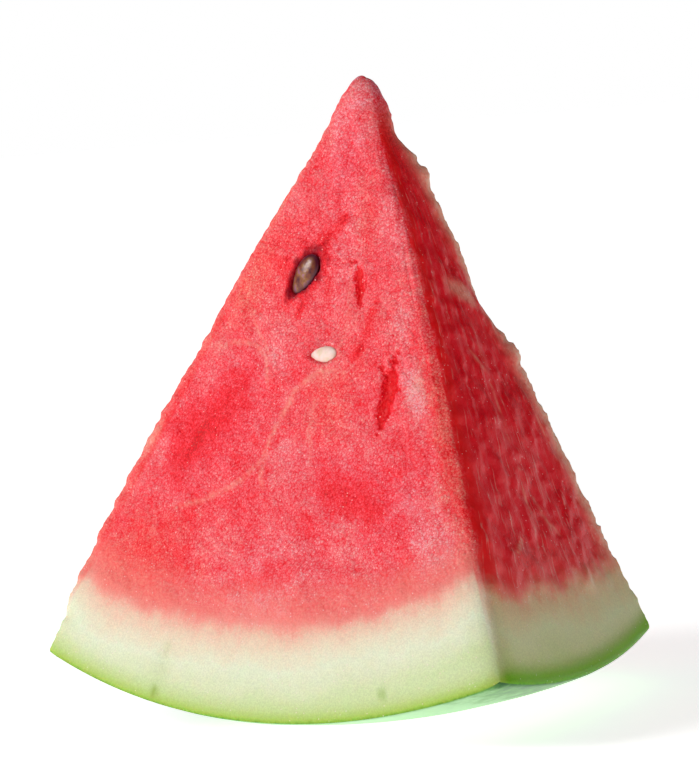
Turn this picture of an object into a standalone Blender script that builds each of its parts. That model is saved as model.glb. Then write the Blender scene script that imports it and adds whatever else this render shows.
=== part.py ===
"""A wedge of ripe watermelon that stands on its rind, tip up. Metres, +Z up.

A round melon is cut by four flat knife strokes that meet at one point near its middle.
What they free is a slim four-sided pyramid whose base is a piece of the melon's own
skin, so the wedge stands on a spherical cap. The origin is the middle of the small
flat that the rind makes where it presses on the table. The broad front cut faces -Y.
"""

import math

import bmesh
import bpy
import numpy as np
from mathutils import Matrix, Vector

MM = 0.001

# The melon, and the piece that the knife leaves of it.
MELON_RADIUS = 140.0 * MM
FOOT_RADIUS = 11.0 * MM  # the flat that the rind presses on the table
APEX = Vector((1.9, 9.7, 121.4)) * MM  # where the four cuts meet, before the tip is rounded
CORNERS = {  # plan places, on the skin, of the four edges that run down from the tip
    "front_left": Vector((-53.8, -32.4)) * MM,
    "front_right": Vector((51.8, -32.7)) * MM,
    "back_right": Vector((42.8, 33.2)) * MM,
    "back_left": Vector((-45.2, 27.6)) * MM,
}
BOWS = {  # how far each of those edges bows sideways where the knife wandered, and its skew:
    "front_left": (-3.7 * MM, 1.45),  # above 1, the bow is fullest below the middle of the edge
    "front_right": (2.8 * MM, 0.75),
    "back_right": (1.3 * MM, 0.75),
    "back_left": (-1.4 * MM, 1.2),
}
SIDES = ("front", "right", "back", "left")  # side k runs from corner k to corner k + 1

EDGE_CUT = 1.3 * MM  # how much of each side the rounding of an edge takes
RIM_CUT = 0.7 * MM  # the same, along the sharp rim between a cut face and the skin
TIP_ROUNDING = 0.02  # share of the wedge's height that the rounded tip loses

# How finely the surface is divided.
ROWS_DOWN = 22
ROWS_UNDER = 8
STEPS_ACROSS = {"front": 14, "right": 9, "back": 12, "left": 9}
STEPS_ROUND_EDGE = 3

# Seeds: length, width, thickness. A ripe seed is dark and plump, an unripe one pale and flat.
RIPE_SEED = Vector((8.8, 5.4, 2.4)) * MM
PALE_SEED = Vector((6.4, 3.4, 1.5)) * MM
SEED_CLEARANCE = 0.35 * MM
SEED_POINTING = 0.42  # how much narrower the pointed end is than the round one

# Each is: side, share of the way across, share of the way down from the tip,
# turn from straight down (degrees), tilt into the face (degrees).
DARK_SEEDS = {
    "dark_seed_front": ("front", 0.371, 0.328, -24.0, 9.0),
    "dark_seed_left": ("left", 0.46, 0.47, 14.0, 12.0),
    "dark_seed_back": ("back", 0.36, 0.40, -10.0, 8.0),
}
PALE_SEEDS = {
    "pale_seed_front": ("front", 0.541, 0.449, -90.0, 6.0),
    "pale_seed_back": ("back", 0.63, 0.56, 24.0, 8.0),
}
# Beds that fallen seeds left empty: side, across, down, turn, then length, width, depth.
EMPTY_BEDS = (
    ("front", 0.786, 0.531, -18.0, 12.8, 4.8, 2.0),
    ("front", 0.676, 0.352, 3.0, 9.2, 3.0, 1.4),
    ("back", 0.62, 0.33, 12.0, 9.0, 3.2, 1.8),
    ("left", 0.58, 0.61, -16.0, 10.0, 3.4, 1.9),
)

FLESH_RED = (0.90, 0.12, 0.14, 1.0)
RIPE_BROWN = (0.12, 0.035, 0.02, 1.0)
PALE_CREAM = (0.90, 0.62, 0.48, 1.0)


def clear_scene():
    for obj in list(bpy.data.objects):
        bpy.data.objects.remove(obj, do_unlink=True)


def melon_centre():
    """The melon's centre stands over the origin, lowered by the rind that the foot cuts off."""
    return Vector((0.0, 0.0, math.sqrt(MELON_RADIUS**2 - FOOT_RADIUS**2)))


def skin_point(plan_x, plan_y):
    """The point of the melon's skin below the sphere's middle that has this plan place."""
    drop = math.sqrt(MELON_RADIUS**2 - plan_x**2 - plan_y**2)
    return Vector((plan_x, plan_y, melon_centre().z - drop))


def rim_point(side, across):
    """Where the ray from the tip, a share across this side, leaves through the skin."""
    names = list(CORNERS)
    first, last = (CORNERS[names[(side + step) % 4]] for step in (0, 1))
    ray = (skin_point(*first).lerp(skin_point(*last), across) - APEX).normalized()
    start = APEX - melon_centre()
    along = start.dot(ray)
    return APEX + ray * (math.sqrt(along**2 - start.length_squared + MELON_RADIUS**2) - along)


def face_point(side, across, down):
    """A point of a cut face: a share across it, and a share of the way down from the tip.

    The tip is rounded because the height follows a hyperbola, while the spread is a straight line.
    """
    names = list(CORNERS)
    ends = (BOWS[names[(side + step) % 4]] for step in (0, 1))
    first, last = (most * math.sin(math.pi * down**skew) for most, skew in ends)
    bow = first + (last - first) * across
    reach = rim_point(side, across) - APEX
    lowered = math.sqrt(down**2 + (TIP_ROUNDING * (1.0 - down)) ** 2)
    return APEX + Vector((reach.x * down + bow, reach.y * down, reach.z * lowered))


def rounded_corner(side, cut_before, cut_after, down):
    """The points inside the rounding of the edge between this side and the next: a Bezier arc."""
    start = face_point(side, 1.0 - cut_before, down)
    corner = face_point(side, 1.0, down)
    end = face_point((side + 1) % 4, cut_after, down)
    shares = [step / STEPS_ROUND_EDGE for step in range(1, STEPS_ROUND_EDGE)]
    return [start.lerp(corner, share).lerp(corner.lerp(end, share), share) for share in shares]


def outline(down):
    """One ring round the wedge at this share of the way down, with its four edges rounded."""
    widths = [(face_point(side, 1.0, down) - face_point(side, 0.0, down)).length for side in range(4)]
    cuts = [min(EDGE_CUT / width, 0.3) for width in widths]
    points = []
    for side, name in enumerate(SIDES):
        steps = STEPS_ACROSS[name]
        for step in range(steps + 1):
            across = cuts[side] + (1.0 - 2.0 * cuts[side]) * step / steps
            points.append(face_point(side, across, down))
        points += rounded_corner(side, cuts[side], cuts[(side + 1) % 4], down)
    return points


def skin_ring(rim, inwards):
    """The rim's ring drawn in towards the round foot, and laid on the skin."""
    ring = []
    for point in rim:
        plan = Vector((point.x, point.y))
        plan = plan.lerp(plan.normalized() * FOOT_RADIUS, inwards)
        ring.append(skin_point(*plan))
    return ring


def wedge_rings():
    """Every ring from the tip down the cut faces, over the rim and under the skin to the foot."""
    slant = (rim_point(0, 0.5) - APEX).length
    lowest = 1.0 - RIM_CUT / slant
    smallest = 0.006
    shares = [smallest + (lowest - smallest) * (row / ROWS_DOWN) ** 1.25 for row in range(ROWS_DOWN + 1)]
    rings = [outline(share) for share in shares]
    rim = outline(1.0)
    first = RIM_CUT / CORNERS["front_left"].length
    rings += [skin_ring(rim, first + (1.0 - first) * row / ROWS_UNDER) for row in range(ROWS_UNDER + 1)]
    return rings


def object_from(name, mesh_builder, colour=None, roughness=0.4):
    """One object whose mesh is filled by the given function; one with no colour is a cutter."""
    mesh = bpy.data.meshes.new(name)
    obj = bpy.data.objects.new(name, mesh)
    bpy.context.scene.collection.objects.link(obj)
    work = bmesh.new()
    mesh_builder(work)
    work.to_mesh(mesh)
    work.free()
    if colour is None:
        obj.hide_render = True
        obj.display_type = "WIRE"
        return obj
    material = bpy.data.materials.new(name)
    material.use_nodes = True
    shader = material.node_tree.nodes["Principled BSDF"]
    shader.inputs["Base Color"].default_value = colour
    shader.inputs["Roughness"].default_value = roughness
    mesh.materials.append(material)
    mesh.shade_smooth()
    mesh.set_sharp_from_angle(angle=math.radians(40.0))
    return obj


def build_wedge(work):
    """Bridges the rings into one skin and closes it with a cap at the tip and the flat foot."""
    rings = [[work.verts.new(point) for point in ring] for ring in wedge_rings()]
    for upper, lower in zip(rings, rings[1:]):
        for here in range(len(upper)):
            after = (here + 1) % len(upper)
            work.faces.new((upper[here], lower[here], lower[after], upper[after]))
    work.faces.new(rings[0])
    work.faces.new(reversed(rings[-1]))


def place_on_face(side_name, across, down, turn, tilt=0.0):
    """A matrix at this place of a cut face: X down the face, turned, and Z straight out of it."""
    side = SIDES.index(side_name)
    nudge = 0.01
    here = face_point(side, across, down)
    slope = (face_point(side, across, down + nudge) - here).normalized()
    across_way = face_point(side, across + nudge, down) - here
    out = slope.cross(across_way).normalized()
    axes = Matrix((slope, out.cross(slope), out)).transposed().to_4x4()
    turned = Matrix.Rotation(math.radians(turn), 4, "Z") @ Matrix.Rotation(math.radians(tilt), 4, "Y")
    return Matrix.Translation(here) @ axes @ turned


def seed_builder(size, grow=0.0):
    """Fills a mesh with a seed: a flattened ball that narrows towards its pointed end, +X."""

    def build(work):
        bmesh.ops.create_uvsphere(work, u_segments=20, v_segments=10, radius=0.5)
        for vertex in work.verts:
            long_share = vertex.co.z + 0.5
            narrowing = 1.0 - SEED_POINTING * long_share**2
            vertex.co = Vector(
                (
                    vertex.co.z * (size.x + 2.0 * grow),
                    vertex.co.x * (size.y * narrowing + 2.0 * grow),
                    vertex.co.y * (size.z * narrowing + 2.0 * grow),
                )
            )

    return build


def bed_builder(length, width, depth):
    """Fills a mesh with the long ball that an empty seed bed is the lower half of."""

    def build(work):
        bmesh.ops.create_uvsphere(work, u_segments=16, v_segments=10, radius=1.0)
        scale = Matrix.Diagonal((depth, width / 2.0, length / 2.0, 1.0))
        turned = Matrix.Rotation(math.radians(90.0), 4, "Y") @ scale
        bmesh.ops.transform(work, matrix=turned, verts=work.verts)

    return build


def cut_out(body, cutter):
    """Takes the cutter's shape out of the body."""
    modifier = body.modifiers.new(cutter.name, "BOOLEAN")
    modifier.operation = "DIFFERENCE"
    modifier.solver = "EXACT"
    modifier.object = cutter


def add_seed(wedge, name, place, size, colour):
    """A seed half sunk in its face, with an open socket that keeps clear of it all round."""
    matrix = place_on_face(*place)
    seed = object_from(name, seed_builder(size), colour, roughness=0.3)
    seed.matrix_world = matrix
    socket = object_from(name + "_socket", seed_builder(size, grow=SEED_CLEARANCE))
    socket.matrix_world = matrix
    cut_out(wedge, socket)


def main():
    clear_scene()
    wedge = object_from("wedge", build_wedge, FLESH_RED)
    for number, (side, across, down, turn, *size) in enumerate(EMPTY_BEDS, start=1):
        bed = object_from(f"empty_bed_{number}", bed_builder(*(np.array(size) * MM)))
        bed.matrix_world = place_on_face(side, across, down, turn)
        cut_out(wedge, bed)
    for name, place in DARK_SEEDS.items():
        add_seed(wedge, name, place, RIPE_SEED, RIPE_BROWN)
    for name, place in PALE_SEEDS.items():
        add_seed(wedge, name, place, PALE_SEED, PALE_CREAM)


main()
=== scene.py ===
# %% [markdown]
# # A wedge of ripe watermelon
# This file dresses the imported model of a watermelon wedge. The wedge is one grown thing, flesh,
# white rind and green skin together, with a few seeds bedded in its cut faces. The frame holds
# the plain solids. Here the same form is worked out again as one fine surface, and every
# surface gets the finish of the real fruit.

# %% Load the frame
import functools
import itertools
import math

import bpy
import numpy as np
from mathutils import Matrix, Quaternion, Vector


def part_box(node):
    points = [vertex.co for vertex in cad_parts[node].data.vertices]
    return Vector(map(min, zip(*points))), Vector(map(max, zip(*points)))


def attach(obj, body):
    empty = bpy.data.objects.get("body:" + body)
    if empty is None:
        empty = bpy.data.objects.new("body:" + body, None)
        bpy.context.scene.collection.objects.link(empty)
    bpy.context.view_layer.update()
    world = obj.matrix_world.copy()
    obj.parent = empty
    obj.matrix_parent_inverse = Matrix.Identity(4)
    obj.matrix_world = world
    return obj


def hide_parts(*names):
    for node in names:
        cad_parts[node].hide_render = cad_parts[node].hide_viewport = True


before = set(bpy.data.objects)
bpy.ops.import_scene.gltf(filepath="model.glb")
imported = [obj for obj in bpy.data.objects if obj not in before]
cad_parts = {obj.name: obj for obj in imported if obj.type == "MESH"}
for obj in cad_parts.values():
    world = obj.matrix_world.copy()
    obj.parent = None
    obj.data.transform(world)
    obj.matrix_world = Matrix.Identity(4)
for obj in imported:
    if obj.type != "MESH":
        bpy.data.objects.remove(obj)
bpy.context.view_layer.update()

# %% [markdown]
# ## The form, in millimetres
# A round melon is cut by four flat strokes that meet at one point near its middle. So the form
# needs only the melon's radius, that point, and where the four edges come out through the skin.
# They are the same driving sizes as the solid's, and the frame's own box says whether they fit.

# %% Driving sizes
MM = 0.001
MELON_RADIUS = 140.0
FOOT_RADIUS = 11.0
MELON_CENTRE = np.array([0.0, 0.0, math.sqrt(MELON_RADIUS**2 - FOOT_RADIUS**2)])
APEX = np.array([1.9, 9.7, 121.4])
CORNERS = np.array([(-53.8, -32.4), (51.8, -32.7), (42.8, 33.2), (-45.2, 27.6)])
BOWS = np.array([-3.7, 2.8, 1.3, -1.4])
BOW_SKEWS = np.array([1.45, 0.75, 0.75, 1.2])
TIP_ROUNDING = 0.02
SIDES = ("front", "right", "back", "left")


def unit(vectors):
    """Each vector divided by its own length."""
    return vectors / np.linalg.norm(vectors, axis=-1, keepdims=True)


def skin_points(plan):
    """Points of the melon's skin with these plan places: the sphere's underside."""
    height = MELON_CENTRE[2] - np.sqrt(MELON_RADIUS**2 - (plan**2).sum(-1))
    return np.concatenate([plan, height[..., None]], axis=-1)


CORNER_POINTS = skin_points(CORNERS)
frame_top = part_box("wedge")[1][2] / MM
print("edges meet the skin at heights", CORNER_POINTS[:, 2].round(1), "frame top", round(frame_top, 1))

# %% [markdown]
# ## Around and down
# Every point of the surface has two numbers. `around` runs from 0 to 4, one for each cut face,
# so its whole part names the side and its fraction says how far across that side. `down` is the
# share of the way from the tip to the rim. A ray from the tip through `around` leaves the melon
# at the rim, and the cut face is all that lies on such rays.

# %% Rays from the tip to the rim
def rim_points(around):
    """Where the ray from the tip, at each place around, leaves the sphere (a line meeting a sphere)."""
    side = np.floor(around).astype(int) % 4
    across = (around - np.floor(around))[..., None]
    first, last = CORNER_POINTS[side], CORNER_POINTS[(side + 1) % 4]
    ray = unit(first + (last - first) * across - APEX)
    start = APEX - MELON_CENTRE
    along = ray @ start
    reach = np.sqrt(along**2 - start @ start + MELON_RADIUS**2) - along
    return APEX + ray * reach[..., None]


def edge_bow(edge, down):
    """How far an edge bows sideways: half a sine wave down it, skewed by a power of the share."""
    return BOWS[edge] * np.sin(np.pi * down ** BOW_SKEWS[edge])


def face_points(around, down):
    """Points of the cut faces, bowed and with a rounded tip, by the same rule as the solid's."""
    side = np.floor(around).astype(int) % 4
    across = around - np.floor(around)
    first, last = edge_bow(side, down), edge_bow((side + 1) % 4, down)
    bow = first + (last - first) * across
    reach = rim_points(around) - APEX
    lowered = np.sqrt(down**2 + (TIP_ROUNDING * (1.0 - down)) ** 2)
    spread = reach[..., :2] * down[..., None]
    height = reach[..., 2] * lowered
    return APEX + np.stack([spread[..., 0] + bow, spread[..., 1], height], axis=-1)


def place_on_face(side, across, down, turn, tilt=0.0):
    """Centre and axes of a place on a cut face: X down it, turned, Z straight out of it."""
    around = np.array([0.0, 0.0, 0.01]) + SIDES.index(side) + across
    here, below, beside = face_points(around, np.array([0.0, 0.01, 0.0]) + down)
    slope = unit(below - here)
    out = unit(np.cross(slope, beside - here))
    sideways = np.cross(out, slope)
    turn, tilt = math.radians(turn), math.radians(tilt)
    x_axis = slope * math.cos(turn) + sideways * math.sin(turn)
    y_axis = np.cross(out, x_axis)
    tipped = x_axis * math.cos(tilt) - out * math.sin(tilt)
    return here, np.array([tipped, y_axis, np.cross(tipped, y_axis)])


# %% [markdown]
# ## What is on the faces
# Seeds lie half sunk in sockets. Where a seed fell out, it leaves an empty bed, which is the
# deepest red on the fruit, because no cut cell walls scatter the light there.

# %% Seeds and empty beds
RIPE_SEED = np.array([8.8, 5.4, 2.4])
PALE_SEED = np.array([6.4, 3.4, 1.5])
SEED_POINTING = 0.42
DARK_SEEDS = {
    "dark_seed_front": ("front", 0.371, 0.328, -24.0, 9.0),
    "dark_seed_left": ("left", 0.46, 0.47, 14.0, 12.0),
    "dark_seed_back": ("back", 0.36, 0.40, -10.0, 8.0),
}
PALE_SEEDS = {
    "pale_seed_front": ("front", 0.541, 0.449, -90.0, 6.0),
    "pale_seed_back": ("back", 0.63, 0.56, 24.0, 8.0),
}
EMPTY_BEDS = (  # side, across, down, turn, then length, width, depth
    ("front", 0.786, 0.531, -18.0, 12.8, 4.8, 2.0),
    ("front", 0.676, 0.352, 3.0, 9.2, 3.0, 1.4),
    ("back", 0.62, 0.33, 12.0, 9.0, 3.2, 1.8),
    ("left", 0.58, 0.61, -16.0, 10.0, 3.4, 1.9),
)
for name, place in {**DARK_SEEDS, **PALE_SEEDS}.items():
    centre, _ = place_on_face(*place)
    middle = sum(np.array(corner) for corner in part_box(name)) / 2 / MM
    print(f"{name}: {np.linalg.norm(centre - middle):.2f} mm from its solid")

# %% [markdown]
# ## Noise
# The fruit is never quite flat or even. Smooth noise is made from a lattice of repeatable
# random numbers: each lattice point gets one from a hash of its indices, and a point between
# them gets a smooth blend of the eight around it.

# %% A smooth noise
def lattice_value(cells, seed):
    """A repeatable number from -1 to 1 for each lattice point: a hash of its three indices."""
    mixed = (cells * np.array([73856093, 19349663, 83492791])).sum(-1) + seed * 83492791
    for shift, factor in ((13, 1274126177), (16, 668265263)):
        mixed = ((mixed ^ (mixed >> shift)) & 0x7FFFFFFF) * factor
    return ((mixed >> 8) & 0xFFFFF) / 0x7FFFF - 1.0


def noise(points, size, seed=0):
    """Value noise: lattice numbers at this spacing, blended by a fifth-power smooth step."""
    grid = points / size
    cells = np.floor(grid).astype(np.int64)
    part = grid - cells
    part = part**3 * (part * (part * 6.0 - 15.0) + 10.0)
    total = np.zeros(points.shape[:-1])
    for corner in itertools.product((0, 1), repeat=3):
        weight = np.where(np.array(corner) == 1, part, 1.0 - part).prod(-1)
        total += weight * lattice_value(cells + np.array(corner), seed)
    return total


def smooth_step(value, start, end):
    """0 below start, 1 above end, and a soft S between them."""
    share = np.clip((value - start) / (end - start), 0.0, 1.0)
    return share * share * (3.0 - 2.0 * share)


sample = np.random.default_rng(1).uniform(-50, 50, (4000, 3))
print("noise spread:", noise(sample, 5.0).std().round(3))

# %% [markdown]
# ## The base form as a distance
# A knife never leaves a perfect edge: the edges and the tip are a little rounded. A neat way
# to round all of them at once is to describe the body by one number, its distance outside.
# For each cut plane that is a signed distance, and a soft maximum of the four rounds every edge
# and the tip. The melon's skin joins with a much sharper one, because the rim is crisp.

# %% Signed distances and their soft maximum
RIDGE_SOFTNESS = 1.9  # of the edge between the front and right cuts, which is worn roundest
EDGE_SOFTNESS = 0.55
RIM_SOFTNESS = 0.22


def cut_planes():
    """Outward normals of the four cuts: each holds the tip and two neighbouring corners."""
    edges = CORNER_POINTS - APEX
    normals = unit(np.cross(edges, np.roll(edges, -1, axis=0)))
    inside = CORNER_POINTS.mean(0) - APEX
    return normals * -np.sign(normals @ inside)[:, None]


CUT_NORMALS = cut_planes()


def soft_maximum(values, softness):
    """The largest of the values, rounded: softness times the log of the sum of exponentials."""
    largest = values.max(-1, keepdims=True)
    total = np.exp((values - largest) / softness).sum(-1)
    return largest[..., 0] + softness * np.log(total)


def without_bow(points):
    """Points with the sideways bow of the edges taken out, so that the cuts are flat again."""
    rim_height = CORNER_POINTS[:, 2].mean()
    down = np.clip((APEX[2] - points[..., 2]) / (APEX[2] - rim_height), 0.02, 1.0)
    reach = (points[..., :2] - APEX[:2]) / down[..., None]
    ends = CORNERS - APEX[:2]
    left, right = ends[[0, 3], 0].mean(), ends[[1, 2], 0].mean()
    near, far = ends[[0, 1], 1].mean(), ends[[2, 3], 1].mean()
    across = np.clip((reach[..., 0] - left) / (right - left), 0.0, 1.0)
    deep = np.clip((reach[..., 1] - near) / (far - near), 0.0, 1.0)
    bows = [edge_bow(edge, down) for edge in range(4)]
    front = bows[0] + (bows[1] - bows[0]) * across
    back = bows[3] + (bows[2] - bows[3]) * across
    straight = points.copy()
    straight[..., 0] -= front + (back - front) * deep
    return straight


def body_distance(points):
    """How far outside the wedge each point is, in mm; below zero is inside."""
    cuts = (without_bow(points) - APEX) @ CUT_NORMALS.T
    ridge = soft_maximum(cuts[..., :2], RIDGE_SOFTNESS)[..., None]
    cuts = soft_maximum(np.concatenate([ridge, cuts[..., 2:]], axis=-1), EDGE_SOFTNESS)
    skin = np.linalg.norm(points - MELON_CENTRE, axis=-1) - MELON_RADIUS
    return soft_maximum(np.stack([cuts, skin], axis=-1), RIM_SOFTNESS)


def outward(points, reach=0.05):
    """The unit normal: the steepest way out, from central differences of the distance."""
    steps = np.eye(3) * reach
    slope = [body_distance(points + step) - body_distance(points - step) for step in steps]
    return unit(np.stack(slope, axis=-1))


# %% [markdown]
# ## The grid
# Columns run from the tip over the rim to the foot. They stand closer together near the four
# edges, where the form turns. Rows are rings. Each grid point is pushed along a ray from the
# wedge's axis until it meets the surface, which halving the gap thirty times finds exactly.

# %% A grid from the tip to the foot
COLUMNS = (128, 82, 106, 78)
FACE_ROWS = 214
SKIN_ROWS = 34
CROWDING = 0.35


def columns_around():
    """Places around, crowded towards the edges: a share minus a small sine wave of it."""
    shares = [np.arange(count) / count for count in COLUMNS]
    return np.concatenate(
        [
            side + share - CROWDING * np.sin(2.0 * np.pi * share) / (2.0 * np.pi)
            for side, share in enumerate(shares)
        ]
    )


AROUND = columns_around()
DOWN = 0.006 + (1.0 - 0.006) * (np.arange(FACE_ROWS) / (FACE_ROWS - 1)) ** 1.06
INWARDS = np.arange(1, SKIN_ROWS + 1) / (SKIN_ROWS + 1)


def starting_grid():
    """Rings of the sharp-edged form, and for each ring the axis point that its rays start from."""
    rim = rim_points(AROUND)
    faces = APEX + (rim - APEX) * DOWN[:, None, None]
    under = skin_points(rim[:, :2] * (1.0 - INWARDS)[:, None, None])
    middle = np.array([0.0, 0.0, CORNER_POINTS[:, 2].mean()])
    along = (0.12 + 0.88 * DOWN)[:, None]
    upper = APEX + (middle - APEX) * along
    lower = middle + np.array([0.0, 0.0, 45.0]) * np.sqrt(INWARDS)[:, None]
    return np.concatenate([faces, under]), np.concatenate([upper, lower])[:, None, :]


def push_to_surface(points, origins):
    """Moves each point along its ray from the axis onto the surface, by bisection."""
    rays = unit(points - origins)
    inner, outer = np.full(points.shape[:-1], -9.0), np.full(points.shape[:-1], 4.0)
    for _ in range(30):
        middle = (inner + outer) / 2.0
        is_inside = body_distance(points + rays * middle[..., None]) < 0.0
        inner, outer = np.where(is_inside, middle, inner), np.where(is_inside, outer, middle)
    return points + rays * inner[..., None]


base = push_to_surface(*starting_grid())
normals = outward(base)
tip = push_to_surface(APEX[None, :], APEX[None, :] - np.array([[0.0, 0.0, 14.0]]))[0]
print("grid:", base.shape[:2], "tip height", tip[2].round(2))

# %% [markdown]
# ## Relief of the cut
# A knife pulls through ripe flesh unevenly. The face waves gently over a few centimetres, is
# lumpy over a few millimetres where clusters of cells tore, and is nearly flat on the hard
# rind. Along the side faces the fibres of the fruit run out from the middle, as fine grooves.
# Each of these is a noise of its own size, in millimetres.

# %% Waves, lumps and fibres
RIND = 17.5  # how thick the pale rind is, to the middle of its change to red


def depth_below_skin(points):
    """How far a point lies inside the melon's sphere."""
    return MELON_RADIUS - np.linalg.norm(points - MELON_CENTRE, axis=-1)


def rind_line(points):
    """How much deeper than usual the red starts: it rises to the right and falls to the back."""
    slope = 0.03 * points[..., 0] - 0.075 * (points[..., 1] + 33.0)
    return slope + 1.3 * noise(points, 24.0, seed=3)


def fibre_coordinates(points, stretch):
    """Space in which the fibres lie straight: direction from the tip, and a shortened distance."""
    ray = points - APEX
    length = np.linalg.norm(ray, axis=-1, keepdims=True)
    return ray / length * 70.0 + length / stretch


def cut_relief(points, is_front):
    """Height of the cut face above its plane, in mm: waves, then lumps, then fibres."""
    ripe = smooth_step(depth_below_skin(points) - rind_line(points), RIND - 4.0, RIND + 3.0)
    waves = 0.34 * noise(points, 31.0, seed=11) + 0.22 * noise(points, 13.0, seed=12)
    lumps = 0.20 * noise(points, 4.6, seed=13) + 0.16 * noise(points, 2.3, seed=14)
    grains = 0.13 * noise(points, 1.3, seed=15)
    fibres = noise(fibre_coordinates(points, 14.0), 1.5, seed=16)
    from_tip = np.linalg.norm(points - APEX, axis=-1)
    fibres = 0.16 * fibres * np.where(is_front, 0.15, 1.0) * smooth_step(from_tip, 12.0, 34.0)
    furrow = -0.08 * np.exp(-(((depth_below_skin(points) - rind_line(points) - 15.0) / 2.5) ** 2))
    return waves * (0.35 + 0.65 * ripe) + (lumps + grains + fibres) * (0.12 + 0.88 * ripe) + furrow


# %% [markdown]
# The edges are where the flesh tears most. Along each edge the surface is rougher, and a few
# named bumps and hollows follow the outline. The tip is blunt and swollen, because the softest
# flesh, from the melon's heart, springs up when it is freed.

# %% Torn edges and a swollen tip
EDGE_TEARS = np.array([0.24, 0.08, 0.34, 0.24])
EDGE_BUMPS = (  # edge, share of the way down, half length as a share, height in mm
    (0, 0.905, 0.030, 0.5),
    (0, 0.935, 0.010, -0.6),
    (1, 0.300, 0.120, 0.6),
    (2, 0.126, 0.024, -0.9),
    (2, 0.163, 0.010, 0.9),
    (2, 0.196, 0.020, 1.7),
    (2, 0.250, 0.030, 0.6),
    (2, 0.410, 0.060, -1.6),
    (2, 0.505, 0.022, 1.3),
    (3, 0.380, 0.060, 0.8),
    (3, 0.620, 0.050, -0.7),
)


def edge_gaps(points):
    """How far each point of the face rows lies from each of the four edges, in its own row."""
    edges = face_points(np.arange(4.0)[:, None], DOWN[None, :])
    return np.linalg.norm(points[None] - edges[:, :, None, :], axis=-1)


def edge_relief(points, gaps):
    """Tears of two sizes along each edge, and the named bumps, fading away over a few mm."""
    tear = noise(points, 0.8, seed=51) + 0.7 * noise(points, 1.5, seed=52)
    total = np.zeros(points.shape[:2])
    for gap, strength in zip(gaps, EDGE_TEARS):
        total += strength * tear * np.exp(-((gap / 1.8) ** 2))
    for edge, down, half, height in EDGE_BUMPS:
        along = np.exp(-(((DOWN - down) / half) ** 2))[:, None]
        total += height * along * np.exp(-((gaps[edge] / 3.2) ** 2))
    return total


def tip_swell(points):
    """Extra height round the tip: most at 5 mm from it, gone at 25 mm, and little on its top."""
    far = np.linalg.norm(points - tip, axis=-1)
    return -0.10 * np.exp(-far / 1.6) + 0.62 * (far / 4.5) * np.exp(1.0 - far / 4.5)


def local(points, place):
    """Coordinates of the points in a place's own axes, in mm."""
    centre, axes = place_on_face(*place)
    return (points - centre) @ axes.T


def bed_relief(points, bed):
    """An empty bed: a long hollow, narrower at its lower end, with a low ragged lip."""
    x, y, z = np.moveaxis(local(points, bed[:4]), -1, 0)
    length, width, depth = bed[4:]
    narrowing = 1.0 - 0.72 * np.clip(x / length + 0.5, 0.0, 1.0) ** 1.3
    ragged = 1.0 + 0.34 * noise(points, 1.5, seed=21) + 0.34 * noise(points, 0.8, seed=23)
    reach = np.sqrt((x / length * 2.0) ** 2 + (y / width / narrowing * 2.0) ** 2) * ragged
    near = np.abs(z) < 6.0
    hollow = -0.28 * depth * np.clip(1.0 - reach**2, 0.0, 1.0)
    lip = 0.16 * np.exp(-(((reach - 1.25) / 0.28) ** 2))
    return np.where(near, hollow + lip, 0.0), np.where(near, reach, 99.0)


def socket_relief(points, place, size):
    """A seed's socket: a bowl a little wider than the seed, with pulp swollen up around it."""
    x, y, z = np.moveaxis(local(points, place), -1, 0)
    narrowing = 1.0 - SEED_POINTING * np.clip(x / size[0] + 0.5, 0.0, 1.0) ** 2
    half_width = size[1] / 2.0 * narrowing
    reach = np.sqrt((x / (size[0] / 2.0)) ** 2 + (y / half_width) ** 2)
    reach = reach * (1.0 + 0.10 * noise(points, 1.1, seed=22))
    near = np.abs(z) < 5.0
    bowl = -(size[2] / 2.0 + 0.3) * np.sqrt(np.clip(1.0 - (reach / 1.03) ** 2, 0.0, 1.0))
    crumbs = 1.0 + 0.9 * noise(points, 1.2, seed=24)
    lip = 0.32 * crumbs * np.exp(-(((reach - 1.22) / 0.26) ** 2))
    return np.where(near, bowl + lip, 0.0), np.where(near, reach, 99.0)


# %% [markdown]
# The skin side is smooth and waxy, with only the slow bumps of a grown fruit. The foot is
# pressed flat by the weight above it.

# %% Put the relief on the form
is_face = np.zeros(base.shape[:2], bool)
is_face[:FACE_ROWS] = True
is_front = is_face & (AROUND[None, :] < 1.0)
beds = [bed_relief(base, bed) for bed in EMPTY_BEDS]
ripe_sockets = [socket_relief(base, place, RIPE_SEED) for place in DARK_SEEDS.values()]
pale_sockets = [socket_relief(base, place, PALE_SEED) for place in PALE_SEEDS.values()]
bed_reach, ripe_reach, pale_reach = (
    np.min([reach for _, reach in holes], axis=0) for holes in (beds, ripe_sockets, pale_sockets)
)
calm = smooth_step(np.minimum(bed_reach, np.minimum(ripe_reach, pale_reach)), 0.8, 1.4)

gaps = edge_gaps(base[:FACE_ROWS])
from_rim = np.clip(depth_below_skin(base) / 1.5, 0.0, 1.0)
from_tip = np.linalg.norm(base - tip, axis=-1)
on_cut = cut_relief(base, is_front) * (0.25 + 0.75 * calm)
on_cut[:FACE_ROWS] += edge_relief(base[:FACE_ROWS], gaps)
on_cut = on_cut * smooth_step(from_tip, -2.0, 9.0) + tip_swell(base)
on_cut = on_cut * (0.2 + 0.8 * from_rim)
on_cut += sum(height for height, _ in beds + ripe_sockets + pale_sockets)
on_skin = 0.16 * noise(base, 22.0, seed=31) + 0.05 * noise(base, 7.0, seed=32)
height = np.where(is_face, on_cut, on_skin)
surface = base + normals * height[..., None]
surface += np.array([0.8, 0.0, 1.9]) * np.exp(-((from_tip / 7.0) ** 2))[..., None]
surface[..., 2] = np.maximum(surface[..., 2], 0.0)
tip = surface[0].mean(0) + np.array([0.0, 0.0, 0.12])
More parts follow.
